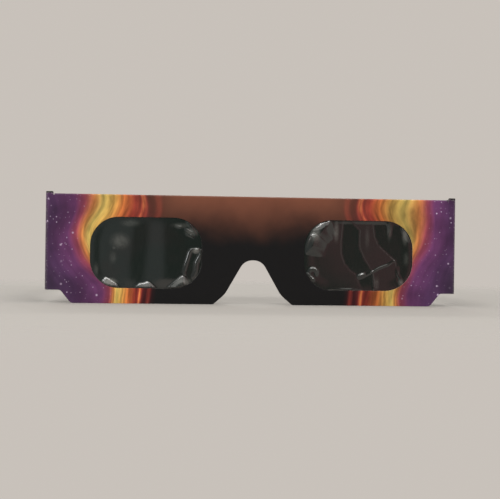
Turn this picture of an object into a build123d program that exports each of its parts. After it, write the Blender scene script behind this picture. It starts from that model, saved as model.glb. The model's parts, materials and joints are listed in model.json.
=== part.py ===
"""Folding card eclipse glasses, open as worn and standing on their lower edges.

The front faces -Y, the temples reach back along +Y, and +Z is up. The origin is at the centre
of the footprint, on the surface that the glasses stand on. Right and left are the wearer's, so
the right side is at -X. Everything is cut from thin card: a front ply, a back ply folded over
from the top edge, and two temples folded back at the sides. The filter films lie glued between
the two plies. Depths are measured backwards from the front face.
"""
import math
import os

from build123d import *

# Sheet materials, and the gap between leaves that lie folded on each other
CARD = 0.45
FILM = 0.08
GLUE = 0.07
LEAF_GAP = 0.30

# Front, seen face on
FRONT_WIDTH = 146.0
BLANK_HEIGHT = 39.0
FOLD_DROP = 0.7
SIDE_RISE = 4.6
SHOULDER_FLAT = 5.4
SHOULDER_SLANT = 3.7
FOOT_RADIUS = 2.0
SHOULDER_RADIUS = 1.5
TAB_GAP = 0.3
TAB_RADIUS = 0.4

# Nose notch, widest at its mouth
NOTCH_HEIGHT = 15.7
NOTCH_MOUTH = 28.0
NOTCH_KNEE = 19.8
NOTCH_KNEE_RISE = 3.6
NOTCH_TOP = 6.0
MOUTH_RADIUS = 1.5
KNEE_RADIUS = 8.0
NOTCH_TOP_RADIUS = 4.7

# Windows, placed by the card left round them, and the films behind them. The windows' corners
# are rounded by a share of their height.
WINDOW_BRIDGE = 36.4
WINDOW_SIDE = 15.6
WINDOW_SILL = 5.4
WINDOW_LINTEL = 7.9
WINDOW_RADIUS_SHARE = 0.4
FILM_MARGIN = 3.2
FILM_RADIUS = 3.0

# Back ply and the glue between the plies
BACK_INSET = 0.4
BACK_SIDE_INSET = 3.0
GLUE_INSET = 0.8
GLUE_CLEARANCE = 0.2

# Temples, seen from the side, measured back from the crease
ARM_LENGTH = 127.0
ARM_TOP_DROP = 1.4
ARM_DEPTH = 18.5
ROOT_FLAT = 12.0
ROOT_SLOPE = 30.0
ROOT_RADIUS = 30.0
UNDERSIDE_RADIUS = 40.0
EAR_RADIUS = 11.0
HOOK_TOP_RADIUS = 20.0
HOOK_BACK_RISE = 14.0
HOOK_BACK_RADIUS = 12.0
HOOK_LEAN = 6.0
TIP_INSET = 2.3
TIP_WIDTH = 6.9
TIP_RADIUS = 3.3
CREASE_CLEARANCE = 0.06

# Two corner radii may take up this share of the side between them
CORNER_FIT_SHARE = 0.98

# One overrun serves every cut
OVERRUN = 1.0

# The stack of sheets, and the two temples folded flat behind it
CORE = GLUE + FILM
PANEL_DEPTH = CARD + CORE + CARD
INNER_LEAF = PANEL_DEPTH + LEAF_GAP
OUTER_LEAF = INNER_LEAF + CARD + LEAF_GAP

# Each crease bends round an axis halfway between the front ply and its own folded leaf.
# The left temple folds in first and lies inside, so its crease bends more tightly.
LEFT_AXIS_DEPTH = (CARD + INNER_LEAF) / 2
RIGHT_AXIS_DEPTH = (CARD + OUTER_LEAF) / 2
OVERALL_DEPTH = max(LEFT_AXIS_DEPTH, RIGHT_AXIS_DEPTH) + ARM_LENGTH

# The turn at the top edge, from the front ply over to the back ply
FOLD_INNER_RADIUS = CORE / 2
FOLD_OUTER_RADIUS = CORE / 2 + CARD
FOLD_AXIS_HEIGHT = BLANK_HEIGHT - FOLD_DROP - FOLD_OUTER_RADIUS
FOLD_LENGTH = FRONT_WIDTH - 2 * BACK_SIDE_INSET

# Windows worked out from the card left round them
WINDOW_WIDTH = (FRONT_WIDTH - WINDOW_BRIDGE) / 2 - WINDOW_SIDE
WINDOW_HEIGHT = BLANK_HEIGHT - FOLD_DROP - WINDOW_LINTEL - WINDOW_SILL
WINDOW_RADIUS = WINDOW_HEIGHT * WINDOW_RADIUS_SHARE
WINDOW_CENTRE = (WINDOW_BRIDGE + WINDOW_WIDTH) / 2
WINDOW_CENTRE_HEIGHT = WINDOW_SILL + WINDOW_HEIGHT / 2

LEFT, RIGHT = 1, -1


def hinge_distance(axis_depth):
    """How far a crease's axis stands from the middle of the glasses."""
    return FRONT_WIDTH / 2 - axis_depth


def fitted_radii(points, radii):
    """Corner radii as wanted, or smaller where two neighbours would meet on one side."""
    corners = [Vector(*point) for point in points]
    count = len(corners)
    tangents = []
    for i, radius in enumerate(radii):
        back = corners[i - 1] - corners[i]
        ahead = corners[(i + 1) % count] - corners[i]
        half_turn = math.radians(180 - back.get_angle(ahead)) / 2
        tangents.append(radius * math.tan(half_turn))
    fits = []
    for i in range(count):
        side = (corners[(i + 1) % count] - corners[i]).length * CORNER_FIT_SHARE
        wanted = tangents[i] + tangents[(i + 1) % count]
        fits.append(min(1, side / wanted) if wanted else 1)
    return [radius * min(fits[i - 1], fits[i]) for i, radius in enumerate(radii)]


def outline(corners):
    """A closed flat face from corners, each a point and its radius."""
    points = [point for point, _ in corners]
    radii = fitted_radii(points, [radius for _, radius in corners])
    return make_face(FilletPolyline(*points, radius=radii, close=True))


def mirrored(corners):
    """The same corners on the other side of the middle, in the opposite order."""
    return [((-x, z), radius) for (x, z), radius in reversed(corners)]


def sheet(face, depth, thickness):
    """A face drawn in width and height, made a flat solid from one depth backwards."""
    return Pos(0, depth, 0) * extrude(Plane.XZ * face, thickness, dir=(0, 1, 0))


def lower_edge():
    """Corners of one half of the lower edge, from the notch's top out to the side."""
    shoulder = FRONT_WIDTH / 2 - SHOULDER_FLAT
    return [
        ((NOTCH_TOP / 2, NOTCH_HEIGHT), NOTCH_TOP_RADIUS),
        ((NOTCH_KNEE / 2, NOTCH_KNEE_RISE), KNEE_RADIUS),
        ((NOTCH_MOUTH / 2, 0), MOUTH_RADIUS),
        ((shoulder - SHOULDER_SLANT, 0), FOOT_RADIUS),
        ((shoulder, SIDE_RISE), SHOULDER_RADIUS),
    ]


def side_edge(axis_depth):
    """Corners of one side of the front ply, with the tab that stands above the top fold."""
    hinge = hinge_distance(axis_depth)
    tab = FOLD_LENGTH / 2 + TAB_GAP
    return [
        ((hinge, SIDE_RISE), 0),
        ((hinge, BLANK_HEIGHT), 0),
        ((tab, BLANK_HEIGHT), TAB_RADIUS),
        ((tab, FOLD_AXIS_HEIGHT), 0),
    ]


def window(side, margin=0, radius=WINDOW_RADIUS):
    """A window's rounded rectangle, or one larger all round by a margin."""
    shape = RectangleRounded(WINDOW_WIDTH + 2 * margin, WINDOW_HEIGHT + 2 * margin, radius)
    return Pos(side * WINDOW_CENTRE, WINDOW_CENTRE_HEIGHT) * shape


def front_panel():
    """The printed front ply."""
    face = outline(
        mirrored(lower_edge() + side_edge(RIGHT_AXIS_DEPTH))
        + lower_edge() + side_edge(LEFT_AXIS_DEPTH)
    )
    for side in (LEFT, RIGHT):
        face -= window(side)
    return sheet(face, 0, CARD)


def back_face():
    """The back ply's outline: the front's, drawn in all round and stopped short of the creases."""
    top = [((FRONT_WIDTH / 2, SIDE_RISE), 0), ((FRONT_WIDTH / 2, BLANK_HEIGHT + BACK_INSET), 0)]
    whole = outline(mirrored(lower_edge() + top) + lower_edge() + top)
    drawn_in = offset(whole, -BACK_INSET)
    return drawn_in & Pos(0, FOLD_AXIS_HEIGHT / 2) * Rectangle(FOLD_LENGTH, FOLD_AXIS_HEIGHT)


def back_panel():
    """The plain back ply, with windows a little larger than the front's."""
    face = back_face()
    for side in (LEFT, RIGHT):
        face -= window(side, BACK_INSET, WINDOW_RADIUS + BACK_INSET)
    return sheet(face, CARD + CORE, CARD)


def top_fold():
    """The half round turn of the card along the top edge."""
    ring = Circle(FOLD_OUTER_RADIUS) - Circle(FOLD_INNER_RADIUS)
    upper = Pos(0, FOLD_OUTER_RADIUS / 2) * Rectangle(2 * FOLD_OUTER_RADIUS, FOLD_OUTER_RADIUS)
    half = extrude(Plane.YZ * (ring & upper), FOLD_LENGTH / 2, both=True)
    return Pos(0, FOLD_OUTER_RADIUS, FOLD_AXIS_HEIGHT) * half


def film(side):
    """One filter film, larger than its window all round."""
    return sheet(window(side, FILM_MARGIN, FILM_RADIUS), CARD + GLUE, FILM)


def patch_glue(side):
    """The ring of glue that holds a film to the front ply."""
    inner = window(side, GLUE_CLEARANCE, WINDOW_RADIUS + GLUE_CLEARANCE)
    outer = window(side, FILM_MARGIN - GLUE_CLEARANCE, FILM_RADIUS)
    return sheet(outer - inner, CARD, GLUE)


def panel_glue():
    """The glue that joins the two plies, everywhere but behind the films."""
    inset_face = offset(back_face(), -GLUE_INSET)
    for side in (LEFT, RIGHT):
        inset_face -= window(side, FILM_MARGIN + GLUE_CLEARANCE, FILM_RADIUS + GLUE_CLEARANCE)
    return sheet(inset_face, CARD, CORE)


def crease(side, axis_depth):
    """The folded strip between the front and a temple: a half turn of card round its axis."""
    ring = Circle(axis_depth) - Circle(axis_depth - CARD)
    outer_half = Pos(side * axis_depth / 2, 0) * Rectangle(axis_depth, 2 * axis_depth)
    strip = extrude(ring & outer_half, BLANK_HEIGHT - SIDE_RISE)
    return Pos(side * hinge_distance(axis_depth), axis_depth, SIDE_RISE) * strip


def arm_face():
    """A temple's outline, length against height, with its ear hook at the far end."""
    underside = BLANK_HEIGHT - ARM_DEPTH
    tip = ARM_LENGTH - TIP_INSET
    return outline([
        ((0, BLANK_HEIGHT), 0),
        ((0, SIDE_RISE), 0),
        ((ROOT_FLAT, SIDE_RISE), ROOT_RADIUS),
        ((ROOT_FLAT + ROOT_SLOPE, underside), UNDERSIDE_RADIUS),
        ((tip - TIP_WIDTH - HOOK_LEAN, underside), EAR_RADIUS),
        ((tip - TIP_WIDTH, 0), TIP_RADIUS),
        ((tip, 0), TIP_RADIUS),
        ((ARM_LENGTH, HOOK_BACK_RISE), HOOK_BACK_RADIUS),
        ((ARM_LENGTH, BLANK_HEIGHT - ARM_TOP_DROP), HOOK_TOP_RADIUS),
    ])


def temple(side, axis_depth):
    """An open temple, its root hollowed so that it turns freely round the crease."""
    leaf = extrude(Plane.YZ * arm_face(), CARD, dir=(side, 0, 0))
    leaf = Pos(side * (axis_depth - CARD), 0, 0) * leaf
    leaf -= Cylinder(axis_depth + CREASE_CLEARANCE, 2 * (BLANK_HEIGHT + OVERRUN))
    return Pos(side * hinge_distance(axis_depth), axis_depth, 0) * leaf


NODES = {
    "front_panel": front_panel(),
    "top_fold": top_fold(),
    "back_panel": back_panel(),
    "panel_glue": panel_glue(),
    "right_film": film(RIGHT),
    "left_film": film(LEFT),
    "right_patch_glue": patch_glue(RIGHT),
    "left_patch_glue": patch_glue(LEFT),
    "right_crease": crease(RIGHT, RIGHT_AXIS_DEPTH),
    "left_crease": crease(LEFT, LEFT_AXIS_DEPTH),
    "right_temple": temple(RIGHT, RIGHT_AXIS_DEPTH),
    "left_temple": temple(LEFT, LEFT_AXIS_DEPTH),
}

os.makedirs("parts", exist_ok=True)
for name, solid in NODES.items():
    export_step(Pos(0, -OVERALL_DEPTH / 2, 0) * solid, f"parts/{name}.step")
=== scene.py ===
"""Card eclipse glasses: printed card, filter films, creases, stage, light and camera.

Lengths in the mesh code are millimetres in the frame's axes. They become metres in one place,
where a mesh is made. A card piece is drawn flat as (across, up, depth), depth being counted from
its printed face, and is then laid where its CAD node is. Every card point also keeps its place
on the flat blank, so that the print runs on over the creases and stays put in every pose.
"""
import json
import math
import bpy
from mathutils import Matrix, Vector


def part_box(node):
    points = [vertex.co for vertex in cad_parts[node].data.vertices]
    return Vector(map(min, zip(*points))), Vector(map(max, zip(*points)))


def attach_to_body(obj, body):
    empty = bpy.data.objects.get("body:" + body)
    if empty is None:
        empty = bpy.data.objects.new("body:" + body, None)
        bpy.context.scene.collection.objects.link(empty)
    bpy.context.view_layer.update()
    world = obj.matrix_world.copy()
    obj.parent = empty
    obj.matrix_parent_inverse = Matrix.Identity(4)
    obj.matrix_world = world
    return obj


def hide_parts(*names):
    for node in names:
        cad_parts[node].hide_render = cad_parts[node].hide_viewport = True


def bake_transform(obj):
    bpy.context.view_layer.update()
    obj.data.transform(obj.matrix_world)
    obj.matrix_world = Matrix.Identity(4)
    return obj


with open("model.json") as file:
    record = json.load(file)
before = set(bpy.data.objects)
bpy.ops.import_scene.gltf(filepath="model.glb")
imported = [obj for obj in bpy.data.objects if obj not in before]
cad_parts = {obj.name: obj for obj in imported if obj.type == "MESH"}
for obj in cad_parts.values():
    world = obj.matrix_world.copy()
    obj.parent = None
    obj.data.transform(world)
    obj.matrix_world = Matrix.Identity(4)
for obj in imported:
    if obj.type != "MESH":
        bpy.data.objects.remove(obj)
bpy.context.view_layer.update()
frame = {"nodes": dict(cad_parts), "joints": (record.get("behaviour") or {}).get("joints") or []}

import bmesh
import bpy
import numpy as np
from mathutils import Quaternion, Vector, noise
from mathutils.geometry import delaunay_2d_cdt

MM = 0.001
SIDES = {"right": -1, "left": 1}

# When places count as the same, and when two sides of an outline run straight on
SAME_DIGITS = 3
SAME_LEVEL = 0.001
SAME_PLACE = 0.01
SAME_POINT = 1e-6
STRAIGHT_ON = 0.02
TINY = 1e-12

# Card mesh: steps over a face, along an edge, round a bend and over the glue, and the fewest
# round a bend; the rounding of cut edges, and the share of it that they lose halfway round;
# the angle from which an edge is shaded sharp, and the gap beside a crease
FACE_STEP = 1.6
EDGE_STEP = 1.2
BEND_STEP = 0.16
GLUE_STEP = 3 * FACE_STEP
LEAST_BEND_STEPS = 6
CUT_ROUND = 0.11
ROUND_SHARE = 0.293
SHARP_ANGLE = math.radians(12)
CREASE_ROOM = 0.02

# Grid of inner points: the spacing of its rows and its room round other points, both in steps,
# and how many of those are measured at once
ROW_SPACING = 0.866
GRID_ROOM = 0.55
BLOCK_SIZE = 200

# The kinds of a card's faces, each the place of its material
PRINTED = 0
INNER = 1
CUT = 2

# How far the flat card bows, short of a margin at each end, how it ripples, and how the film
# patches press through it
FRONT_BOW = 0.24
BOW_MARGIN = 1.0
FRONT_RIPPLE = 0.09
RIPPLE_LENGTH = 21.0
RIPPLE_PLACE = 3.1
ARM_BOW = 0.8
EMBOSS_BACK = 0.05
EMBOSS_FRONT = 0.025
EMBOSS_WIDTH = 1.3

# Film mesh: its step, and the rows of points that follow its lines: beside each crest, across
# each step at a fold line, and just inside each window's edge
FILM_STEP = 0.42
CREST_STEP = 0.30
CREST_ROWS = (-0.70, -0.42, -0.14, 0.14, 0.42, 0.70)
LIP_ROWS = (-0.15, 0.0, 0.15)
RIM_ROWS = (0.08, 0.34)

# How the film lies: its sag from side to side, where it leaves the glued rim, and how far in
# from there its folds and its puckers have their full height. The folds of one film have it
# sooner along the straight top of its window. Shifted copies of a fold line soften its turn.
FILM_SAG = 0.14
RIM_START = -0.05
FOLD_EDGE = 4.0
FOLD_EDGE_TOP = {"right": 4.0, "left": 1.5}
PUCKER_EDGE = 0.28
FOLD_COPIES = 7

# Facets, the puckers at the lower rim: their slope, the steeper one of the lip just below their
# line, how far they fade past its ends, and the most that they stand forward
FACET_SLOPE = 0.20
FACET_LIP_SLOPE = 0.27
FACET_LIP = 0.80
FACET_END = 0.60
FACET_MOST = 0.62

# Ridges: how fast they rise along their line, less being faster, the width from which they are
# round across it, and how round
RIDGE_RISE = 0.3
ROUND_FROM = 1.5
ROUND_POWER = 1.4

# Camera, as far from the front as a hand-held camera: it stands a little to the image's left
CAMERA_DISTANCE = 0.40
CAMERA_AIM = (-0.00116, 0.01957)
CAMERA_YAW = math.radians(-4.93)
CAMERA_ROLL = math.radians(-0.81)
FRAME_WIDTH = 0.17725
SENSOR = 36.0
CLIP_START = 0.01


def millimetres(node):
    """Lowest and highest corner of a CAD node at rest."""
    low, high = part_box(node)
    return np.array(low) / MM, np.array(high) / MM


FRONT_LOW, FRONT_HIGH = millimetres("front_panel")
FOLD_LOW, FOLD_HIGH = millimetres("top_fold")
FRONT_Y = FRONT_LOW[1]
BACK_Y = millimetres("back_panel")[0][1]
CARD = FRONT_HIGH[1] - FRONT_LOW[1]
FOLD_RADIUS = (FOLD_HIGH[1] - FOLD_LOW[1]) / 2
FOLD_AXIS_Z = FOLD_LOW[2]
JOINTS = {joint["child"]: joint for joint in frame["joints"]}


def flat_loops(node, axis, side, across):
    """Closed outlines of a CAD node's flat face that looks along one axis, as (across, up)."""
    mesh = frame["nodes"][node].data
    points = np.array([v.co for v in mesh.vertices]) / MM
    level = points[:, axis].max() if side > 0 else points[:, axis].min()
    keys = [tuple(np.round(p, SAME_DIGITS)) for p in points]
    directed = set()
    for polygon in mesh.polygons:
        if all(abs(points[i][axis] - level) < SAME_LEVEL for i in polygon.vertices):
            ring = [keys[i] for i in polygon.vertices]
            directed.update(zip(ring, ring[1:] + ring[:1]))
    rim = {a: b for a, b in directed if (b, a) not in directed}
    loops = []
    while rim:
        start, after = rim.popitem()
        loop = [start]
        while after != start:
            loop.append(after)
            after = rim.pop(after)
        loops.append(np.array([(p[across], p[2]) for p in loop]))
    loops.sort(key=lambda loop: -abs(area(loop)))
    return [loop if (area(loop) > 0) == (k == 0) else loop[::-1] for k, loop in enumerate(loops)]


def area(loop):
    """Signed area of a closed outline, positive when it runs anticlockwise."""
    x, y = loop[:, 0], loop[:, 1]
    return 0.5 * float(np.sum(x * np.roll(y, -1) - np.roll(x, -1) * y))


def sides(loop):
    """The sides of a closed outline, each as its two ends."""
    return zip(loop, np.roll(loop, -1, axis=0))


def refined(loop, step):
    """The outline with its long sides cut into steps."""
    points = []
    for a, b in sides(loop):
        count = max(1, math.ceil(np.linalg.norm(b - a) / step))
        points += [a + (b - a) * k / count for k in range(count)]
    return np.array(points)


def drawn_in(loop, distance, flush):
    """The outline moved inwards by a distance, except along sides that lie flush."""
    ahead = np.roll(loop, -1, axis=0) - loop
    ahead /= np.linalg.norm(ahead, axis=1)[:, None]
    normal = np.stack([-ahead[:, 1], ahead[:, 0]], axis=1)
    reach = np.array([0.0 if flush(a, b) else distance for a, b in sides(loop)])
    moved = []
    for i, point in enumerate(loop):
        n1, n2 = normal[i - 1], normal[i]
        cross = n1[0] * n2[1] - n1[1] * n2[0]
        if abs(cross) < STRAIGHT_ON:
            mean = (n1 + n2) / np.linalg.norm(n1 + n2)
            moved.append(point + mean * max(reach[i - 1], reach[i]))
        else:
            moved.append(point + np.linalg.solve(np.array([n1, n2]), [reach[i - 1], reach[i]]))
    return np.array(moved)


def inside(points, loops):
    """Which points lie within the outer outline and outside its holes."""
    hit = np.zeros(len(points), bool)
    for loop in loops:
        for a, b in sides(loop):
            straddles = (a[1] > points[:, 1]) != (b[1] > points[:, 1])
            if straddles.any():
                run = (b[0] - a[0]) * (points[:, 1] - a[1]) / (b[1] - a[1] + TINY) + a[0]
                hit ^= straddles & (points[:, 0] < run)
    return hit


def clearance(points, others):
    """Each point's distance from the nearest of the others."""
    nearest = np.full(len(points), np.inf)
    for block in np.array_split(others, max(1, len(others) // BLOCK_SIZE)):
        gap = np.linalg.norm(points[:, None, :] - block[None, :, :], axis=2).min(1)
        nearest = np.minimum(nearest, gap)
    return nearest


def filled(loops, step, fixed):
    """Triangles over a flat face with holes, on a grid of inner points: (points, triangles).
    Fixed points are inner ones that the grid makes room for."""
    rim = np.concatenate(loops)
    low, high = loops[0].min(0), loops[0].max(0)
    rows = int((high[1] - low[1]) / (step * ROW_SPACING)) + 1
    columns = int((high[0] - low[0]) / step) + 1
    grid = np.array([
        (low[0] + (c + 0.5 * (r % 2)) * step, low[1] + (r + 0.5) * step * ROW_SPACING)
        for r in range(rows) for c in range(columns)
    ])
    grid = grid[inside(grid, loops)]
    grid = grid[clearance(grid, np.concatenate([rim, fixed])) > step * GRID_ROOM]
    points = np.concatenate([rim, fixed, grid])
    edges, start = [], 0
    for loop in loops:
        ring = list(range(start, start + len(loop)))
        edges += list(zip(ring, ring[1:] + ring[:1]))
        start += len(loop)
    found = delaunay_2d_cdt([Vector(p) for p in points], edges, [], 0, SAME_POINT)
    source = [ids[0] for ids in found[3]]
    triangles = np.array([[source[i] for i in face] for face in found[2]])
    keep = inside(points[triangles].mean(1), loops)
    return points, triangles[keep]


# What the bands round a slab's edge show: the print rolls over its front, the ink over its back
BAND_KINDS = [PRINTED, PRINTED, CUT, INNER, INNER]
NO_POINTS = np.zeros((0, 2))


def slab(loops, thickness, step, rounding=CUT_ROUND, flush=lambda a, b: False, fixed=NO_POINTS):
    """A flat piece as (across, up, depth) points, faces and each face's kind.
    It stays square along the sides that lie flush, and all round if it has no rounding."""
    inner = [drawn_in(loop, rounding, flush) for loop in loops]
    points, triangles = filled(inner, step, fixed)
    count = len(points)
    rim_count = sum(len(loop) for loop in loops)
    near = rounding * ROUND_SHARE
    rings = [(near, near), (0.0, rounding), (0.0, thickness - rounding), (near, thickness - near)]
    if rounding == 0:
        rings = []
    blocks = [np.column_stack([points, np.zeros(count)])]
    for distance, depth in rings:
        moved = np.concatenate([drawn_in(loop, distance, flush) for loop in loops])
        blocks.append(np.column_stack([moved, np.full(rim_count, depth)]))
    blocks.append(np.column_stack([points, np.full(count, thickness)]))
    starts = np.cumsum([0] + [len(block) for block in blocks])[:-1]
    faces = [tuple(int(i) for i in t) for t in triangles]
    kinds = [PRINTED] * len(faces)
    faces += [tuple(int(starts[-1] + i) for i in reversed(t)) for t in triangles]
    kinds += [INNER] * len(triangles)
    first = 0
    for loop in loops:
        for i in range(len(loop)):
            a, b = first + i, first + (i + 1) % len(loop)
            for low, high, kind in zip(starts[:-1], starts[1:], BAND_KINDS if rings else [CUT]):
                faces.append((int(low + b), int(low + a), int(high + a), int(high + b)))
                kinds.append(kind)
        first += len(loop)
    return np.concatenate(blocks), faces, kinds


def bent_strip(turn, radius_out, low, high):
    """A strip of card bent round an axis, print outwards, as (share of the turn, along, radius)
    points, faces and each face's kind."""
    count = max(LEAST_BEND_STEPS, round(turn * radius_out / BEND_STEP))
    rows = max(2, round((high - low) / FACE_STEP))
    radius_in = radius_out - CARD
    near = CUT_ROUND * ROUND_SHARE
    across = np.linspace(low + CUT_ROUND, high - CUT_ROUND, rows + 1)
    ring = [(s, radius_in) for s in across]
    ring += [(high - near, radius_in + near), (high, radius_in + CUT_ROUND)]
    ring += [(high, radius_out - CUT_ROUND), (high - near, radius_out - near)]
    ring += [(s, radius_out) for s in across[::-1]]
    ring += [(low + near, radius_out - near), (low, radius_out - CUT_ROUND)]
    ring += [(low, radius_in + CUT_ROUND), (low + near, radius_in + near)]
    points = [(k / count, s, r) for k in range(count + 1) for s, r in ring]
    size = len(ring)
    faces, kinds = [], []
    for k in range(count):
        for i in range(size):
            j = (i + 1) % size
            faces.append((k * size + i, k * size + j, (k + 1) * size + j, (k + 1) * size + i))
            middle = (ring[i][1] + ring[j][1]) / 2
            if middle > radius_out - CUT_ROUND:
                kinds.append(PRINTED)
            elif middle < radius_in + CUT_ROUND:
                kinds.append(INNER)
            else:
                kinds.append(CUT)
    faces.append(tuple(range(size)))
    faces.append(tuple(count * size + i for i in reversed(range(size))))
    return np.array(points), faces, kinds + [CUT, CUT]


def mesh_object(name, points, faces, kinds, blank, materials, sharp=SHARP_ANGLE):
    """A Blender object from millimetre points, with each point's place on the flat blank."""
    mesh = bpy.data.meshes.new(name)
    mesh.from_pydata([tuple(p) for p in np.asarray(points) * MM], [], faces)
    for material in materials:
        mesh.materials.append(material)
    mesh.polygons.foreach_set("material_index", kinds)
    mesh.polygons.foreach_set("use_smooth", [True] * len(faces))
    attribute = mesh.attributes.new("blank", "FLOAT_VECTOR", "POINT")
    attribute.data.foreach_set("vector", np.asarray(blank, np.float32).ravel())
    piece = bpy.data.objects.new(name, mesh)
    bpy.context.scene.collection.objects.link(piece)
    shape = bmesh.new()
    shape.from_mesh(mesh)
    bmesh.ops.recalc_face_normals(shape, faces=shape.faces)
    shape.to_mesh(mesh)
    shape.free()
    if sharp is not None:
        mesh.set_sharp_from_angle(angle=sharp)
    mesh.update()
    return piece


def smooth(value, low=0.0, high=1.0):
    """A soft step from 0 at low to 1 at high."""
    t = np.clip((np.asarray(value, float) - low) / (high - low), 0, 1)
    return t * t * (3 - 2 * t)


def rounded_box_distance(x, z, centre, half, radius):
    """Distance outside a rounded rectangle, negative within it."""
    qx = np.abs(x - centre[0]) - (half[0] - radius)
    qz = np.abs(z - centre[1]) - (half[1] - radius)
    outer = np.hypot(np.maximum(qx, 0), np.maximum(qz, 0))
    return outer + np.minimum(np.maximum(qx, qz), 0) - radius


def rounded_box(loop):
    """Centre, half size and corner radius of a rounded rectangle's outline."""
    low, high = loop.min(0), loop.max(0)
    straight = np.ptp(loop[np.abs(loop[:, 0] - low[0]) < SAME_PLACE, 1])
    return (low + high) / 2, (high - low) / 2, (high[1] - low[1] - straight) / 2


def window_loop(name):
    """The outline of the front ply's window on one side."""
    holes = flat_loops("front_panel", 1, -1, 0)[1:]
    return next(loop for loop in holes if loop[:, 0].mean() * SIDES[name] > 0)


WINDOWS = {name: rounded_box(window_loop(name)) for name in SIDES}
FILMS = {name: rounded_box(flat_loops(f"{name}_film", 1, -1, 0)[0]) for name in SIDES}


def front_warp(x, z):
    """How far the front's layers bow, in depth, dying away towards the creases."""
    x, z = np.asarray(x, float), np.asarray(z, float)
    share = np.clip(1 - (x / (FRONT_HIGH[0] - BOW_MARGIN)) ** 2, 0, 1) ** 2
    places = zip(x.ravel() / RIPPLE_LENGTH, z.ravel() / RIPPLE_LENGTH)
    ripple = np.array([noise.noise((a, b, RIPPLE_PLACE)) for a, b in places]).reshape(x.shape)
    return -share * (FRONT_BOW + FRONT_RIPPLE * ripple)


def film_emboss(x, z):
    """Where a film patch lies between the plies: 1 over it, 0 clear of it."""
    raised = np.zeros(np.shape(x))
    for box in FILMS.values():
        gap = rounded_box_distance(x, z, *box)
        raised = np.maximum(raised, 1 - smooth(gap, -EMBOSS_WIDTH / 2, EMBOSS_WIDTH / 2))
    return raised


def attach(piece, body, nodes):
    """Rides a piece on its body in place of its CAD nodes."""
    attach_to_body(piece, body)
    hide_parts(*nodes)
    return piece


def card_loops(node, axis, side, across):
    """A CAD node's flat outlines with their sides cut into steps."""
    return [refined(loop, EDGE_STEP) for loop in flat_loops(node, axis, side, across)]


def both_at(a, b, level):
    """Whether two numbers are both at one level."""
    return abs(a - level) < SAME_PLACE and abs(b - level) < SAME_PLACE


def on_fold(a, b):
    """Whether a side lies against the fold over the top edge."""
    return both_at(a[1], b[1], FOLD_AXIS_Z)


def on_bend(a, b):
    """Whether a side lies against the fold over the top edge or against a crease."""
    return on_fold(a, b) or any(both_at(a[0], b[0], x) for x in (FRONT_LOW[0], FRONT_HIGH[0]))


def front_card(materials):
    """The printed front ply, seated flush against both creases and the top fold."""
    loops = card_loops("front_panel", 1, -1, 0)
    flat, faces, kinds = slab(loops, CARD, FACE_STEP, flush=on_bend)
    x, z, depth = flat.T
    y = FRONT_Y + depth + front_warp(x, z) - EMBOSS_FRONT * film_emboss(x, z)
    blank = np.column_stack([x, z, depth])
    points = np.column_stack([x, y, z])
    piece = mesh_object("front_card", points, faces, kinds, blank, materials)
    return attach(piece, "front", ["front_panel"])


def back_card(materials):
    """The plain back ply, raised a little where the film patches lie under it."""
    loops = card_loops("back_panel", 1, 1, 0)
    flat, faces, kinds = slab(loops, CARD, FACE_STEP, flush=on_fold)
    x, z, depth = flat.T
    y = BACK_Y + depth + front_warp(x, z) + EMBOSS_BACK * film_emboss(x, z)
    blank = np.column_stack([x, 2 * FOLD_AXIS_Z + math.pi * FOLD_RADIUS - z, depth])
    points = np.column_stack([x, y, z])
    piece = mesh_object("back_card", points, faces, kinds, blank, materials)
    return attach(piece, "front", ["back_panel"])


def fold_card(materials):
    """The half round turn over the top edge."""
    flat, faces, kinds = bent_strip(math.pi, FOLD_RADIUS, FOLD_LOW[0], FOLD_HIGH[0])
    turn = flat[:, 0] * math.pi
    x, radius = flat[:, 1], flat[:, 2]
    z = FOLD_AXIS_Z + radius * np.sin(turn)
    y = FRONT_Y + FOLD_RADIUS - radius * np.cos(turn) + front_warp(x, np.full(len(x), FOLD_AXIS_Z))
    blank = np.column_stack([x, FOLD_AXIS_Z + turn * FOLD_RADIUS, FOLD_RADIUS - radius])
    points = np.column_stack([x, y, z])
    piece = mesh_object("fold_card", points, faces, kinds, blank, materials)
    return attach(piece, "front", ["top_fold"])


def crease_geometry(name):
    """Side, place of the axis, its distance out, outer radius, and lower and upper end."""
    side = SIDES[name]
    low, high = millimetres(f"{name}_crease")
    axis = np.array(JOINTS[f"{name}_temple"]["pos_m"]) / MM
    edge = high[0] if side > 0 else -low[0]
    hinge = abs(axis[0])
    return side, axis, hinge, edge - hinge, (low[2], high[2])


CREASES = {name: crease_geometry(name) for name in SIDES}
FOLD_SPAN = sum(crease[2] for crease in CREASES.values())


def crease_card(name, materials):
    """A quarter turn of card at rest."""
    side, axis, hinge, radius_out, (low, high) = CREASES[name]
    flat, faces, kinds = bent_strip(math.pi / 2, radius_out, low, high)
    turn = flat[:, 0] * math.pi / 2
    z, radius = flat[:, 1], flat[:, 2]
    x = side * (hinge + radius * np.sin(turn))
    y = axis[1] - radius * np.cos(turn)
    blank = np.column_stack([side * (hinge + turn * radius_out), z, radius_out - radius])
    points = np.column_stack([x, y, z])
    piece = mesh_object(f"{name}_crease_card", points, faces, kinds, blank, materials)
    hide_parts(f"{name}_crease")
    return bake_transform(piece)


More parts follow.
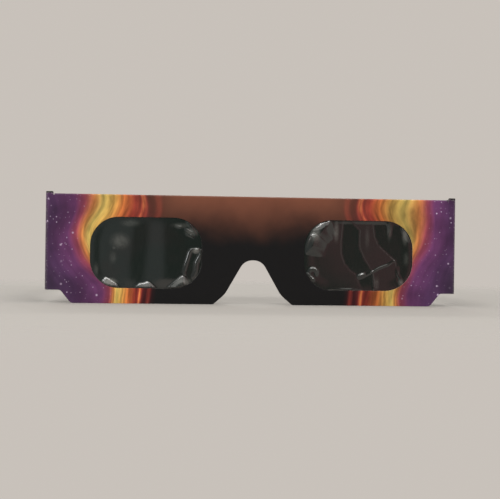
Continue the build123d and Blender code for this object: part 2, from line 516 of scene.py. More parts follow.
def temple_card(name, materials):
    """An arm with its ear hook, bowed outwards a little along its length."""
    side, axis, hinge, radius_out, _ = CREASES[name]
    loops = flat_loops(f"{name}_temple", 0, side, 1)
    for loop in loops:
        loop[loop[:, 0] < loop[:, 0].min() + SAME_PLACE, 0] = axis[1] + CREASE_ROOM
    loops = [refined(loop, EDGE_STEP) for loop in loops]

    def flush(a, b):
        return max(a[0], b[0]) < axis[1] + 2 * CREASE_ROOM

    flat, faces, kinds = slab(loops, CARD, FACE_STEP, flush=flush)
    y, z, depth = flat.T
    along = y - axis[1]
    bow = ARM_BOW * np.sin(math.pi * along / FOLD_SPAN) ** 2
    x = side * (hinge + radius_out - depth + bow)
    blank = np.column_stack([side * (hinge + math.pi / 2 * radius_out + along), z, depth])
    points = np.column_stack([x, y, z])
    piece = mesh_object(f"{name}_temple_card", points, faces, kinds, blank, materials)
    return attach(piece, f"{name}_temple", [f"{name}_temple"])


def glue_layer(node, material):
    """A layer of dried adhesive, bowed with the plies that it joins."""
    low, high = millimetres(node)
    thickness = high[1] - low[1]
    flat, faces, _ = slab(card_loops(node, 1, -1, 0), thickness, GLUE_STEP, rounding=0)
    x, z, depth = flat.T
    y = low[1] + depth + front_warp(x, z)
    points = np.column_stack([x, y, z])
    kinds = [PRINTED] * len(faces)
    piece = mesh_object(f"{node}_layer", points, faces, kinds, flat, [material])
    return attach(piece, "front", [node])


# All places on the films are millimetres across and up from each window's centre. Below a
# facet's line, which runs from left to right, the film leans forward.
FACETS = {
    "right": [
        [(-14.6, -8.8), (-13.8, -8.5), (-12.6, -9.1), (-10.0, -11.0), (-9.4, -12.2)],
        [(-4.2, -12.2), (-2.4, -10.6), (-0.6, -10.3), (0.5, -9.8), (1.3, -10.1), (3.6, -12.2)],
        [(7.2, -12.2), (9.3, -10.4), (12.3, -7.9), (13.1, -7.7), (14.0, -8.6), (15.4, -11.4)],
    ],
    "left": [],
}
# Ridges stand up along a line: how high, how far they reach on its left and right, and where
# along it they are highest, as a share of its length
RIDGES = {
    "right": [
        ([(13.6, -8.0), (13.6, -6.3), (14.1, -3.8), (14.8, -1.5), (15.3, 0.2), (15.9, 1.2),
          (16.8, 1.5)], 0.27, 0.72, 0.6, 0.78),
        ([(19.2, 1.6), (19.3, -0.3), (18.6, -1.7), (17.8, -3.2), (17.6, -6.3), (16.6, -9.0)],
         0.30, 0.6, 0.85, 0.30),
        ([(16.4, 1.5), (17.7, 1.2), (19.0, 1.5)], 0.20, 0.7, 1.4, 0.5),
        ([(10.3, 9.9), (11.6, 9.2), (12.9, 9.5)], 0.12, 0.5, 0.7, 0.5),
        ([(13.4, 8.9), (15.4, 7.6), (17.6, 7.4)], 0.16, 0.5, 0.7, 0.5),
        ([(14.0, 11.4), (15.4, 9.6), (16.6, 8.0), (17.6, 6.0)], 0.14, 0.7, 0.6, 0.4),
        ([(13.8, 6.8), (15.4, 6.4), (17.2, 5.4)], 0.12, 0.5, 0.7, 0.5),
    ],
    "left": [
        ([(-17.2, 0.0), (-16.8, 3.0), (-15.8, 6.0), (-14.2, 8.2)], 0.70, 2.2, 5.0, 0.7),
        ([(-16.0, 6.0), (-14.0, 8.0), (-11.6, 10.0), (-9.6, 10.8)], 0.68, 2.6, 5.0, 0.5),
        ([(-17.9, -6.4), (-17.0, -5.0), (-15.9, -4.9), (-15.0, -5.8), (-14.8, -7.2)],
         0.32, 0.70, 0.6, 0.66),
        ([(-18.3, -6.2), (-17.6, -7.6), (-16.7, -8.5), (-15.6, -9.0)], 0.37, 0.75, 0.6, 0.5),
        ([(-0.4, -7.9), (0.6, -7.4), (2.7, -6.6)], 0.34, 1.05, 0.8, 0.6),
        ([(1.6, -7.6), (5.3, -5.7), (7.8, -4.3), (10.7, -3.2), (13.6, -1.4)],
         0.165, 0.42, 0.42, 0.55),
        ([(5.3, -5.9), (5.7, -9.0), (5.8, -12.2)], 0.10, 0.5, 0.5, 0.5),
        ([(14.2, -3.4), (14.5, -6.7), (15.4, -8.4), (14.6, -11.4)], 0.12, 0.7, 0.5, 0.5),
        ([(-11.9, 12.0), (-12.3, 8.6), (-11.4, 6.0), (-9.6, 4.8)], 0.08, 0.6, 1.2, 0.5),
        ([(11.4, 12.0), (11.4, 9.6), (10.8, 7.0)], 0.14, 0.8, 0.8, 0.5),
        ([(15.4, 11.0), (16.8, 8.4), (18.6, 5.0)], 0.26, 0.8, 1.0, 0.5),
        ([(-10.8, -12.0), (-4.0, -12.1), (1.6, -12.0)], 0.12, 0.42, 0.4, 0.5),
    ],
}
# Strips between fold lines, which lean one way and the other: the first one's slope, how far the
# turn at a line spreads to each side, how far the film steps back at a line, and the lines
STRIPS = {
    "right": (-0.020, 1.5, 0.0, [
        [(-16.6, -12.0), (-16.9, 0.0), (-16.2, 12.0)],
        [(-5.4, -12.0), (-6.2, -4.0), (-5.6, 4.0), (-4.8, 12.0)],
        [(-1.0, -12.0), (0.4, -3.0), (1.2, 4.0), (1.2, 12.0)],
        [(6.6, -12.0), (6.2, -2.0), (5.8, 5.0), (6.2, 12.0)],
    ]),
    "left": (-0.015, 0.35, 0.06, [
        [(1.2, -12.0), (-0.9, -6.7), (-3.1, -5.2), (-4.9, -3.1), (-6.2, 0.4), (-6.3, 4.7),
         (-5.7, 12.0)],
        [(5.8, -12.0), (5.3, -5.4), (3.9, -3.5), (2.1, -0.5), (0.6, 3.0), (0.5, 7.0),
         (0.7, 9.0), (-2.3, 12.0)],
        [(14.6, -12.0), (14.4, -6.0), (13.3, -1.6), (11.5, -0.2), (7.1, 3.8), (5.8, 6.8),
         (5.1, 12.0)],
    ]),
}


def strip_height(u, v, half_width, slope, softness, lip, lines):
    """How far forward a film stands whose strips lean to one side and the other by turns.
    The last strip ends at the window's side, and the sum of all leans is taken out."""
    total, height = np.zeros(u.shape), np.zeros(u.shape)
    last = np.full(u.shape, -half_width)
    for line in lines + [[(half_width, 0.0)]]:
        across, up = np.array(line).T
        place = np.interp(v, up, across)
        for shift in np.linspace(-softness, softness, FOLD_COPIES):
            height += slope / FOLD_COPIES * np.clip(u + shift - last, 0, place - last)
        total += slope * (place - last)
        if across[0] < half_width:
            height -= lip * np.clip((u - place - LIP_ROWS[0]) / (LIP_ROWS[-1] - LIP_ROWS[0]), 0, 1)
            total -= lip
        last, slope = place, -slope
    return height - total * (u + half_width) / (2 * half_width)


def beside_line(x, z, line):
    """Distance to the left of a line, negative on its right, and the share along it."""
    line = np.array(line, float)
    runs = np.linalg.norm(np.diff(line, axis=0), axis=1)
    before = 0.0
    best = np.full(x.shape, np.inf)
    share = np.zeros(x.shape)
    left = np.zeros(x.shape)
    for a, b, run in zip(line[:-1], line[1:], runs):
        ahead = (b - a) / run
        t = np.clip((x - a[0]) * ahead[0] + (z - a[1]) * ahead[1], 0, run)
        dx, dz = x - a[0] - ahead[0] * t, z - a[1] - ahead[1] * t
        gap = np.hypot(dx, dz)
        closer = gap < best
        best = np.where(closer, gap, best)
        share = np.where(closer, (before + t) / runs.sum(), share)
        left = np.where(closer, ahead[0] * dz - ahead[1] * dx > 0, left)
        before += run
    return np.where(left, best, -best), share


def facet_height(x, z, line):
    """A pucker that leans well forward just below its line and a little less from there down."""
    across, up = np.array(line).T
    drop = np.maximum(np.interp(x, across, up) - z, 0)
    ended = smooth(x, across[-1], across[-1] + FACET_END)
    within = smooth(x, across[0] - FACET_END, across[0]) * (1 - ended)
    lip = (FACET_LIP_SLOPE - FACET_SLOPE) * np.minimum(drop, FACET_LIP)
    return np.minimum(lip + FACET_SLOPE * drop, FACET_MOST) * within


def ridge_height(x, z, line, height, left_width, right_width, peak):
    """How far one ridge lifts the film at each point: narrow ones are sharp, wide ones round."""
    beside, share = beside_line(x, z, line)
    along = smooth(share, 0.0, peak) * (1 - smooth(share, peak, 1.0))
    width = np.where(beside > 0, left_width, right_width)
    away = np.clip(np.abs(beside) / width, 0, 1)
    fall = np.where(width > ROUND_FROM, away ** ROUND_POWER, away)
    return height * along ** RIDGE_RISE * (1 - fall)


def film_lift(name, x, z):
    """How far a film stands forward of its flat place, held flat at its window's edge."""
    centre, half, radius = WINDOWS[name]
    u, v = x - centre[0], z - centre[1]
    edge = -rounded_box_distance(x, z, centre, half, radius)
    corner = smooth(np.abs(u), half[0] - radius, half[0] - radius + FOLD_EDGE_TOP[name])
    top = smooth(v, 0, half[1] - FOLD_EDGE) * (1 - corner)
    fold_edge = FOLD_EDGE + (FOLD_EDGE_TOP[name] - FOLD_EDGE) * top
    folds = strip_height(u, v, half[0], *STRIPS[name]) * smooth(edge, RIM_START, fold_edge)
    sag = FILM_SAG * (1 - (u / half[0]) ** 2) * smooth(edge, RIM_START, FOLD_EDGE)
    puckers = [facet_height(u, v, line) for line in FACETS[name]]
    puckers += [ridge_height(u, v, *ridge) for ridge in RIDGES[name]]
    return folds - sag + np.max(puckers, axis=0) * smooth(edge, RIM_START, PUCKER_EDGE)


def crest_rows(name):
    """Mesh points beside a film's crests, across its stepped folds and inside its window."""
    centre, half, radius = WINDOWS[name]
    _, _, lip, folds = STRIPS[name]
    rows = []
    crests = [(line, CREST_ROWS) for line in FACETS[name] + [ridge[0] for ridge in RIDGES[name]]]
    crests += [(line, LIP_ROWS) for line in folds if lip]
    for line, offsets in crests:
        for a, b in zip(np.array(line[:-1]), np.array(line[1:])):
            run = np.linalg.norm(b - a)
            side = np.array([a[1] - b[1], b[0] - a[0]]) / run
            for along in np.arange(0, run, CREST_STEP):
                rows += [centre + a + (b - a) * along / run + side * offset for offset in offsets]
    window = refined(window_loop(name)[::-1], 2 * CREST_STEP)
    for distance in RIM_ROWS:
        rows += list(drawn_in(window, distance, lambda a, b: False))
    rows = np.array(rows)
    rows = rows[rounded_box_distance(*rows.T, centre, half, radius) < -RIM_ROWS[0] / 2]
    _, first = np.unique(np.round(rows / (CREST_STEP / 2)), axis=0, return_index=True)
    return rows[np.sort(first)]


def film_sheet(name, material):
    """A filter film, flat where it is glued and crinkled across its window."""
    node = f"{name}_film"
    low, high = millimetres(node)
    loops = card_loops(node, 1, -1, 0)
    flat, faces, _ = slab(loops, high[1] - low[1], FILM_STEP, rounding=0, fixed=crest_rows(name))
    x, z, depth = flat.T
    y = low[1] + depth + front_warp(x, z) - film_lift(name, x, z)
    points = np.column_stack([x, y, z])
    kinds = [PRINTED] * len(faces)
    piece = mesh_object(f"{name}_film_sheet", points, faces, kinds, flat, [material], sharp=None)
    return attach(piece, "front", [node])


# Places of the two colours among a Mix node's inputs, and of the mixed one among its outputs
MIX_A = 6
MIX_B = 7
MIXED = 2


class Graph:
    """A material's nodes, made and linked by short calls."""

    def __init__(self, name, tree=None):
        if tree is None:
            self.material = bpy.data.materials.new(name)
            self.material.use_nodes = True
            tree = self.material.node_tree
        self.tree = tree
        self.shader = tree.nodes.get("Principled BSDF")

    def node(self, kind, **settings):
        made = self.tree.nodes.new(kind)
        for key, value in settings.items():
            setattr(made, key, value)
        return made

    def feed(self, socket, value):
        if isinstance(value, bpy.types.NodeSocket):
            self.tree.links.new(value, socket)
        else:
            socket.default_value = value

    def math(self, operation, *values):
        made = self.node("ShaderNodeMath", operation=operation)
        for socket, value in zip(made.inputs, values):
            self.feed(socket, value)
        return made.outputs[0]

    def vector(self, operation, *values):
        made = self.node("ShaderNodeVectorMath", operation=operation)
        for socket, value in zip(made.inputs, values):
            self.feed(socket, value)
        return made.outputs[0]

    def scaled(self, value, factor):
        made = self.node("ShaderNodeVectorMath", operation="SCALE")
        self.feed(made.inputs[0], value)
        self.feed(made.inputs["Scale"], factor)
        return made.outputs[0]

    def vector_length(self, value):
        made = self.node("ShaderNodeVectorMath", operation="LENGTH")
        self.feed(made.inputs[0], value)
        return made.outputs["Value"]

    def join(self, x, y, z=0.0):
        made = self.node("ShaderNodeCombineXYZ")
        for socket, value in zip(made.inputs, (x, y, z)):
            self.feed(socket, value)
        return made.outputs[0]

    def step(self, value, low, high, start=0.0, end=1.0):
        made = self.node("ShaderNodeMapRange", interpolation_type="SMOOTHSTEP")
        keys = ("Value", "From Min", "From Max", "To Min", "To Max")
        for key, item in zip(keys, (value, low, high, start, end)):
            self.feed(made.inputs[key], item)
        return made.outputs["Result"]

    def noise(self, vector, scale, detail=2.0, roughness=0.5, distortion=0.0):
        made = self.node("ShaderNodeTexNoise")
        keys = ("Vector", "Scale", "Detail", "Roughness", "Distortion")
        for key, value in zip(keys, (vector, scale, detail, roughness, distortion)):
            self.feed(made.inputs[key], value)
        return made.outputs["Fac"]

    def ramp(self, value, stops):
        made = self.node("ShaderNodeValToRGB")
        elements = made.color_ramp.elements
        while len(elements) < len(stops):
            elements.new(0.5)
        for element, (place, colour) in zip(elements, stops):
            element.position = place
            element.color = (*colour, 1.0)
        self.feed(made.inputs["Fac"], value)
        return made.outputs["Color"]

    def mix(self, factor, a, b):
        made = self.node("ShaderNodeMix", data_type="RGBA")
        self.feed(made.inputs["Factor"], factor)
        for place, value in ((MIX_A, a), (MIX_B, b)):
            linked = isinstance(value, bpy.types.NodeSocket)
            self.feed(made.inputs[place], value if linked else (*value, 1.0))
        return made.outputs[MIXED]

    def bump(self, height, distance, strength=1.0):
        made = self.node("ShaderNodeBump")
        self.feed(made.inputs["Height"], height)
        made.inputs["Distance"].default_value = distance
        made.inputs["Strength"].default_value = strength
        self.tree.links.new(made.outputs["Normal"], self.shader.inputs["Normal"])

    def blank(self):
        """Place on the flat blank, in millimetres: the whole, across and up."""
        place = self.node("ShaderNodeAttribute", attribute_name="blank").outputs["Vector"]
        split = self.node("ShaderNodeSeparateXYZ")
        self.feed(split.inputs[0], place)
        return place, split.outputs["X"], split.outputs["Y"]


INK = (0.0052, 0.0048, 0.0052)
PAPER = (0.60, 0.565, 0.50)

# Ground of the print by distance out from the middle, in millimetres. The bands inwards of the
# violet ends get narrower towards the lower edge.
GROUND_SPAN = 170.0
GROUND = [
    (0, INK), (26, INK), (34, (0.050, 0.007, 0.009)), (40.5, (0.260, 0.034, 0.020)),
    (45, (0.500, 0.140, 0.034)), (49, (0.560, 0.310, 0.070)), (52.5, (0.550, 0.390, 0.100)),
    (55.4, (0.500, 0.170, 0.046)), (58.2, (0.270, 0.048, 0.072)), (61.5, (0.124, 0.034, 0.108)),
    (69, (0.075, 0.028, 0.084)), (79, (0.038, 0.023, 0.048)), (112, (0.021, 0.015, 0.027)),
    (160, INK),
]
VIOLET_FROM = 58.0
# Thin ribbons on its dark side: distance out, half width and strength
RIBBONS = [(30.5, 2.8, 0.30), (36.8, 2.6, 0.50)]
EMBER = [(0.0, (0.16, 0.012, 0.016)), (0.35, (0.36, 0.050, 0.030)), (0.75, (0.66, 0.22, 0.06))]
HAZE = (0.235, 0.078, 0.042)
SPECK = (0.66, 0.52, 0.68)

# How the bands wander, in millimetres: a slow drift to either side, a wave and a lean up the card
DRIFT = 5.0
WAVE = 2.2
WAVE_RATE = 0.19
WAVE_START = 0.5
LEAN = -0.26
LEAN_START = 5.0

# Soft steps of the print: from, to, and the values before and after, by the distance out
# (OUT), by the height up the card (UP) or by a noise
BAND_NARROWING_UP = (2.0, 34.0, 0.75, 0.0)
RIBBON_STREAKS = (0.3, 0.7, 0.6, 1.3)
RIBBON_COVER = (0.0, 0.5, 0.0, 0.85)
STREAK_TONE = (0.25, 0.75, -0.55, 0.30)
STREAKS_OUT = (54.0, 62.0, 1.0, 0.35)
CLOUD_TONE = (0.3, 0.7, 0.62, 1.38)
TONE_OUT = (27.0, 36.0)
HAZE_UP = (20.0, 42.0, 0.0, 0.9)
HAZE_OUT = (24.0, 46.0, 1.0, 0.0)
SOWN = (0.34, 0.50)
SPECKS_OUT = (55.0, 63.0, 0.0, 0.9)
GRAIN_ROUGHNESS = (0.3, 0.7, 0.30, 0.40)

# Where the print ends beyond the top edge and where the fold wears, both in fold radii, and how
# far out the creases wear, in millimetres
PRINT_END = (0.9, 1.7)
FOLD_WEAR = 1.2
CREASE_LINE = np.mean([crease[2] + crease[3] * math.pi / 4 for crease in CREASES.values()])


def specks(graph, place, cell, least, most, offset):
    """Small round dots, one at most in each cell, of mixed sizes and strengths."""
    texture = graph.node("ShaderNodeTexVoronoi", voronoi_dimensions="2D")
    graph.feed(texture.inputs["Vector"], graph.vector("ADD", place, offset))
    texture.inputs["Scale"].default_value = 1 / cell
    split = graph.node("ShaderNodeSeparateColor")
    graph.feed(split.inputs[0], texture.outputs["Color"])
    size = graph.step(split.outputs[0], 0.4, 1.0, least / cell, most / cell)
    shown = graph.step(split.outputs[1], 0.30, 0.90)
    dot = graph.math("SUBTRACT", 1.0, graph.math("DIVIDE", texture.outputs["Distance"], size))
    return graph.math("MULTIPLY", graph.step(dot, 0.0, 0.8), shown)


def printed_card():
    """Gloss print: dark in the middle under a brown haze, ember and yellow bands that sway,
    and violet ends with pale specks. It is worn to the paper along its bends."""
    graph = Graph("printed card")
    place, across, up = graph.blank()
    out = graph.math("ABSOLUTE", across)
    cloud = graph.noise(place, 0.055, 3.0, 0.5, 0.2)
    drift = graph.math("MULTIPLY_ADD", graph.noise(place, 0.045, 1.0), 2 * DRIFT, -DRIFT)
    wave = graph.math("SINE", graph.math("MULTIPLY_ADD", up, WAVE_RATE, WAVE_START))
    lean = graph.math("MULTIPLY_ADD", up, LEAN, LEAN_START)
    sway = graph.math("MULTIPLY_ADD", wave, WAVE, drift)
    flow = graph.math("ADD", graph.math("ADD", out, lean), sway)
    inwards = graph.math("MAXIMUM", graph.math("SUBTRACT", VIOLET_FROM, flow), 0.0)
    narrowing = graph.math("MULTIPLY", inwards, graph.step(up, *BAND_NARROWING_UP))
    flow = graph.math("SUBTRACT", flow, narrowing)

    stops = [(x / GROUND_SPAN, colour) for x, colour in GROUND]
    ground = graph.ramp(graph.math("DIVIDE", flow, GROUND_SPAN), stops)
    drawn = graph.join(graph.math("MULTIPLY", flow, 0.50), graph.math("MULTIPLY", up, 0.09))
    streaks = graph.noise(drawn, 1.0, 4.0)
    for centre, width, strength in RIBBONS:
        away = graph.math("ABSOLUTE", graph.math("SUBTRACT", flow, centre))
        band = graph.step(away, 0.0, width, strength, 0.0)
        glow = graph.math("MULTIPLY", band, graph.step(streaks, *RIBBON_STREAKS))
        ground = graph.mix(graph.step(band, *RIBBON_COVER), ground, graph.ramp(glow, EMBER))
    depth = graph.step(flow, *STREAKS_OUT)
    streaked = graph.math("MULTIPLY_ADD", graph.step(streaks, *STREAK_TONE), depth, 1.0)
    tone = graph.math("MULTIPLY", streaked, graph.step(cloud, *CLOUD_TONE))
    ground = graph.mix(graph.step(flow, *TONE_OUT), ground, graph.scaled(ground, tone))

    haze = graph.math("ADD", up, graph.math("MULTIPLY_ADD", cloud, 14.0, -7.0))
    haze = graph.math("MULTIPLY", graph.step(haze, *HAZE_UP), graph.step(out, *HAZE_OUT))
    ground = graph.mix(haze, ground, HAZE)

    dots = graph.math("MAXIMUM", specks(graph, place, 4.2, 0.18, 0.56, (0.0, 0.0, 0.0)),
                      specks(graph, place, 1.9, 0.12, 0.28, (31.0, 17.0, 0.0)))
    dots = graph.math("MULTIPLY", dots, graph.step(graph.noise(place, 0.11, 2.0), *SOWN))
    dots = graph.math("MULTIPLY", dots, graph.step(flow, *SPECKS_OUT))
    ground = graph.mix(dots, ground, SPECK)

    turned = graph.step(up, *(FOLD_AXIS_Z + FOLD_RADIUS * share for share in PRINT_END))
    ground = graph.mix(turned, ground, INK)

    grain = graph.noise(place, 6.0, 3.0, 0.7)
    cracks = graph.step(graph.noise(place, 2.6, 4.0, 0.75), 0.50, 0.60)
    crease = graph.math("ABSOLUTE", graph.math("SUBTRACT", out, CREASE_LINE))
    crease = graph.step(crease, 0.0, 0.7, 1.0, 0.0)
    over = graph.math("SUBTRACT", up, FOLD_AXIS_Z + FOLD_RADIUS * FOLD_WEAR)
    over = graph.step(graph.math("ABSOLUTE", over), 0.0, 0.5, 1.0, 0.0)
    worn = graph.math("MULTIPLY", graph.math("MAXIMUM", crease, over), cracks)
    ground = graph.mix(graph.math("MULTIPLY", worn, 0.4), ground, PAPER)

    graph.feed(graph.shader.inputs["Base Color"], ground)
    graph.feed(graph.shader.inputs["Roughness"], graph.step(grain, *GRAIN_ROUGHNESS))
    graph.shader.inputs["Specular IOR Level"].default_value = 0.20
    graph.bump(graph.math("ADD", grain, worn), 0.012 * MM, 0.6)
    return graph.material


def black_card():
    """Uncoated black inner face, with a faint fibre."""
    graph = Graph("black card")
    place, _, _ = graph.blank()
    fibre = graph.noise(graph.vector("MULTIPLY", place, (1.0, 0.35, 1.0)), 5.0, 4.0, 0.7)
    cloud = graph.noise(place, 0.12, 3.0)
    tone = graph.math("ADD", graph.math("MULTIPLY", fibre, 0.5), graph.math("MULTIPLY", cloud, 0.5))
    graph.feed(graph.shader.inputs["Base Color"], graph.ramp(tone, [
        (0.30, (0.014, 0.0135, 0.014)), (0.70, (0.030, 0.029, 0.030)),
    ]))
    graph.feed(graph.shader.inputs["Roughness"], graph.step(fibre, 0.3, 0.7, 0.52, 0.68))
    graph.bump(fibre, 0.02 * MM, 0.7)
    return graph.material


def cut_edge():
    """Die-cut edge of the card: pale board, smeared with ink."""
    graph = Graph("cut edge")
    place, _, _ = graph.blank()
    fibre = graph.noise(graph.vector("MULTIPLY", place, (1.0, 1.0, 9.0)), 3.2, 4.0, 0.7)
    graph.feed(graph.shader.inputs["Base Color"], graph.ramp(fibre, [
        (0.28, (0.16, 0.145, 0.135)), (0.50, (0.40, 0.372, 0.33)), (0.75, PAPER),
    ]))
    graph.shader.inputs["Roughness"].default_value = 0.85
    graph.bump(fibre, 0.03 * MM, 0.8)
    return graph.material


# Painted reflections on each film, pale patches standing in for light that its crinkles reflect:
# place across and up from its window's centre, half sizes, strength
PAINTED_REFLECTIONS = {
    "right": [
        (-9.3, 4.1, 4.6, 3.8, 0.38), (-11.3, 1.6, 0.9, 0.8, 0.30), (-11.6, -1.8, 1.8, 3.0, 0.20),
        (12.0, 9.8, 4.4, 1.3, 0.32), (16.2, 7.6, 3.6, 2.2, 0.36), (17.6, 1.0, 1.9, 1.5, 0.80),
        (-17.4, -6.0, 1.2, 3.4, 0.24), (-12.6, -10.4, 3.4, 1.9, 1.0), (0.2, -11.2, 3.0, 1.2, 0.30),
        (13.2, -10.0, 4.4, 1.6, 0.40), (-5.6, 10.4, 4.6, 1.8, 0.24),
    ],
    "left": [
        (-8.0, 8.6, 1.3, 5.2, 0.50), (-15.6, 7.4, 2.4, 4.6, 0.62), (11.2, 8.8, 1.2, 4.8, 0.24),
        (17.0, 7.4, 1.6, 4.4, 0.60), (17.4, -1.0, 1.4, 3.4, 0.20), (3.2, 6.6, 1.2, 5.6, 0.16),
        (15.6, -9.4, 1.4, 1.6, 0.55), (6.8, -10.0, 1.3, 3.4, 0.25),
    ],
}
# Colour of the painted reflections on the films
PAINTED_REFLECTION_TINT = (0.165, 0.160, 0.142)
# Greenish on the right film, brownish on the left one
FILM_TINTS = [(0.40, (0.0058, 0.0082, 0.0068)), (0.60, (0.0092, 0.0080, 0.0070))]


def painted_reflection_strength(graph, place, name, wisps):
    """How strongly painted reflection lightens one film at each point."""
    centre = (*WINDOWS[name][0], 0.0)
    most = 0.0
    for across, up, half_width, half_height, strength in PAINTED_REFLECTIONS[name]:
        away = graph.vector("SUBTRACT", place, (centre[0] + across, centre[1] + up, 0.0))
        away = graph.vector("MULTIPLY", away, (1 / half_width, 1 / half_height, 0.0))
        painted_reflection_mask = graph.step(graph.vector_length(away), 0.0, 1.0, strength, 0.0)
        most = graph.math("MAXIMUM", most, painted_reflection_mask)
    return graph.math("MULTIPLY", most, graph.step(wisps, 0.28, 0.72, 0.60, 1.20))


def filter_film(name):
    """Dark glossy film, faintly green and brown, with fine scuffs and pale patches of painted
    reflection.
    """
    graph = Graph(f"{name} filter film")
    place, across, up = graph.blank()
    flat = graph.join(across, up)
    shift = graph.step(across, -30.0, 30.0, -0.07, 0.07)
    cloud = graph.math("ADD", graph.noise(flat, 0.07, 2.0), shift)
    tint = graph.ramp(cloud, FILM_TINTS)
    # Painted reflections: pale patches mixed into the film's colour
    painted_reflection_mask = painted_reflection_strength(graph, flat, name, graph.noise(flat, 0.55, 4.0, 0.65, 0.6))
    graph.feed(graph.shader.inputs["Base Color"], graph.mix(painted_reflection_mask, tint, PAINTED_REFLECTION_TINT))
    scuff = graph.noise(graph.vector("MULTIPLY", place, (1.0, 0.18, 1.0)), 1.6, 5.0, 0.7)
    graph.feed(graph.shader.inputs["Roughness"], graph.step(scuff, 0.35, 0.70, 0.06, 0.13))
    graph.shader.inputs["IOR"].default_value = 1.75
    graph.bump(scuff, 0.01 * MM, 0.5)
    return graph.material


def dried_glue():
    """Pale adhesive between the plies."""
    graph = Graph("dried glue")
    place, _, _ = graph.blank()
    graph.feed(graph.shader.inputs["Base Color"], graph.ramp(graph.noise(place, 0.8, 3.0), [
        (0.3, (0.55, 0.52, 0.44)), (0.7, (0.72, 0.70, 0.62)),
    ]))
    graph.shader.inputs["Roughness"].default_value = 0.5
    return graph.material


PALE = (0.578, 0.535, 0.492)
FLOOR_COLOUR = (0.455, 0.425, 0.390)
FLOOR_RADIUS = 1.2
FLOOR_SIDES = 96
FLOOR_FADE = (0.12, 0.27)
LIGHT_COLOUR = (0.95, 0.98, 1.0)
LIGHT_STRENGTH = 0.46
# The room before the front, as gloss shows it, by the direction towards it: the colours from
# side to side, where they fade into the background up and down, and where they end to the rear
ROOM_DARK = (0.104, 0.130, 0.112)
ROOM_COOL = (0.285, 0.315, 0.300)
ROOM_WARM = (0.350, 0.215, 0.215)
ROOM_ENDS = [
    (-0.48, PALE), (-0.36, ROOM_COOL), (-0.034, ROOM_COOL), (0.006, ROOM_DARK), (0.178, ROOM_DARK),
    (0.190, ROOM_WARM), (0.36, ROOM_WARM), (0.48, PALE),
]
ROOM_HEIGHT = (0.42, 0.58)
ROOM_BEFORE = (-0.45, 0.05)


def stage():
    """A pale floor that fades into the background, and the background itself."""
    bpy.ops.mesh.primitive_circle_add(vertices=FLOOR_SIDES, radius=FLOOR_RADIUS, fill_type="NGON")
    floor = bpy.context.object
    floor.name = "floor"
    graph = Graph("floor")
    graph.shader.inputs["Base Color"].default_value = (*FLOOR_COLOUR, 1.0)
    graph.shader.inputs["Roughness"].default_value = 0.9
    graph.shader.inputs["Specular IOR Level"].default_value = 0.1
    place = graph.node("ShaderNodeTexCoord").outputs["Object"]
    clear = graph.node("ShaderNodeBsdfTransparent").outputs[0]
    mixed = graph.node("ShaderNodeMixShader")
    graph.feed(mixed.inputs[0], graph.step(graph.vector_length(place), *FLOOR_FADE))
    graph.feed(mixed.inputs[1], graph.shader.outputs[0])
    graph.feed(mixed.inputs[2], clear)
    graph.feed(graph.tree.nodes["Material Output"].inputs["Surface"], mixed.outputs[0])
    floor.data.materials.append(graph.material)

    world = bpy.data.worlds.new("studio")
    bpy.context.scene.world = world
    world.use_nodes = True
    graph = Graph("", world.node_tree)
    light = graph.tree.nodes["Background"]
    light.inputs["Color"].default_value = (*LIGHT_COLOUR, 1.0)
    light.inputs["Strength"].default_value = LIGHT_STRENGTH
    path = graph.node("ShaderNodeLightPath")
    towards = graph.node("ShaderNodeSeparateXYZ")
    graph.feed(towards.inputs[0], graph.node("ShaderNodeTexCoord").outputs["Generated"])
    stops = [(x + 0.5, colour) for x, colour in ROOM_ENDS]
    ends = graph.ramp(graph.math("ADD", towards.outputs["X"], 0.5), stops)
    above = graph.step(graph.math("ABSOLUTE", towards.outputs["Z"]), *ROOM_HEIGHT)
    before = graph.step(towards.outputs["Y"], *ROOM_BEFORE, 1.0, 0.0)
    dimmed = graph.math("MULTIPLY", graph.math("SUBTRACT", 1.0, above), before)
    dimmed = graph.math("MULTIPLY", dimmed, path.outputs["Is Glossy Ray"])
    shown = graph.node("ShaderNodeBackground")
    graph.feed(shown.inputs["Color"], graph.mix(dimmed, PALE, ends))
    direct = graph.math("MAXIMUM", path.outputs["Is Camera Ray"], path.outputs["Is Glossy Ray"])
    direct = graph.math("MAXIMUM", direct, path.outputs["Is Transmission Ray"])
    mixed = graph.node("ShaderNodeMixShader")
    graph.feed(mixed.inputs[0], direct)
    graph.feed(mixed.inputs[1], light.outputs[0])
    graph.feed(mixed.inputs[2], shown.outputs[0])
    graph.feed(graph.tree.nodes["World Output"].inputs["Surface"], mixed.outputs[0])


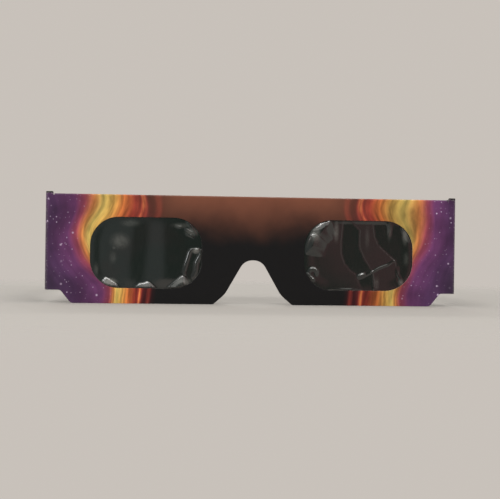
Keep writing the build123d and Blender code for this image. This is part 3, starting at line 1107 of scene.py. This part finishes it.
# A wide lamp above, long narrow ones before and behind, and softer ones low in front: place,
# size, power and colour
LAMPS = {
    "overhead": ((0.0, -0.10, 1.00), (1.0, 0.8), 5.6, (1.0, 0.985, 0.96)),
    "front_strip": ((0.14, -1.00, 0.58), (1.40, 0.10), 4.2, (1.0, 0.99, 0.97)),
    "back_strip": ((-0.05, 0.90, 0.62), (0.80, 0.12), 2.6, (1.0, 0.98, 0.95)),
    "left_box": ((-0.62, -0.85, 0.32), (0.30, 0.56), 2.2, (0.96, 0.98, 1.0)),
    "low_strip": ((0.05, -1.04, 0.42), (0.95, 0.22), 0.80, (1.0, 1.0, 0.95)),
}
LAMP_AIM = (0.0, 0.0, 0.02)


def area_light(name, place, size, power, colour):
    """A soft rectangular lamp aimed at the object."""
    data = bpy.data.lights.new(name, "AREA")
    data.shape = "RECTANGLE"
    data.size, data.size_y = size
    data.energy = power
    data.color = colour
    lamp = bpy.data.objects.new(name, data)
    bpy.context.scene.collection.objects.link(lamp)
    lamp.location = place
    lamp.rotation_mode = "QUATERNION"
    lamp.rotation_quaternion = (Vector(LAMP_AIM) - Vector(place)).to_track_quat("-Z", "Y")


def camera():
    """The camera, nearly square on to the front, framing it as the photograph does."""
    data = bpy.data.cameras.new("camera")
    data.sensor_width = SENSOR
    data.lens = SENSOR * CAMERA_DISTANCE / FRAME_WIDTH
    data.clip_start = CLIP_START
    eye = bpy.data.objects.new("camera", data)
    bpy.context.scene.collection.objects.link(eye)
    aim = Vector((CAMERA_AIM[0], FRONT_Y * MM, CAMERA_AIM[1]))
    back = Vector((math.sin(CAMERA_YAW), -math.cos(CAMERA_YAW), 0.0))
    eye.location = aim + CAMERA_DISTANCE * back
    level = (-back).to_track_quat("-Z", "Y")
    eye.rotation_mode = "QUATERNION"
    eye.rotation_quaternion = level @ Quaternion((0.0, 0.0, 1.0), -CAMERA_ROLL)
    bpy.context.scene.camera = eye


card = [printed_card(), black_card(), cut_edge()]
plain = [card[1], card[1], card[2]]
front_card(card)
back_card(plain)
fold_card(card)
for name in SIDES:
    crease_card(name, card)
    temple_card(name, card)
for name in SIDES:
    film_sheet(name, filter_film(name))
glue = dried_glue()
for node in ("panel_glue", "right_patch_glue", "left_patch_glue"):
    glue_layer(node, glue)

stage()
for name, settings in LAMPS.items():
    area_light(name, *settings)
camera()
bpy.context.scene.view_settings.view_transform = "Standard"
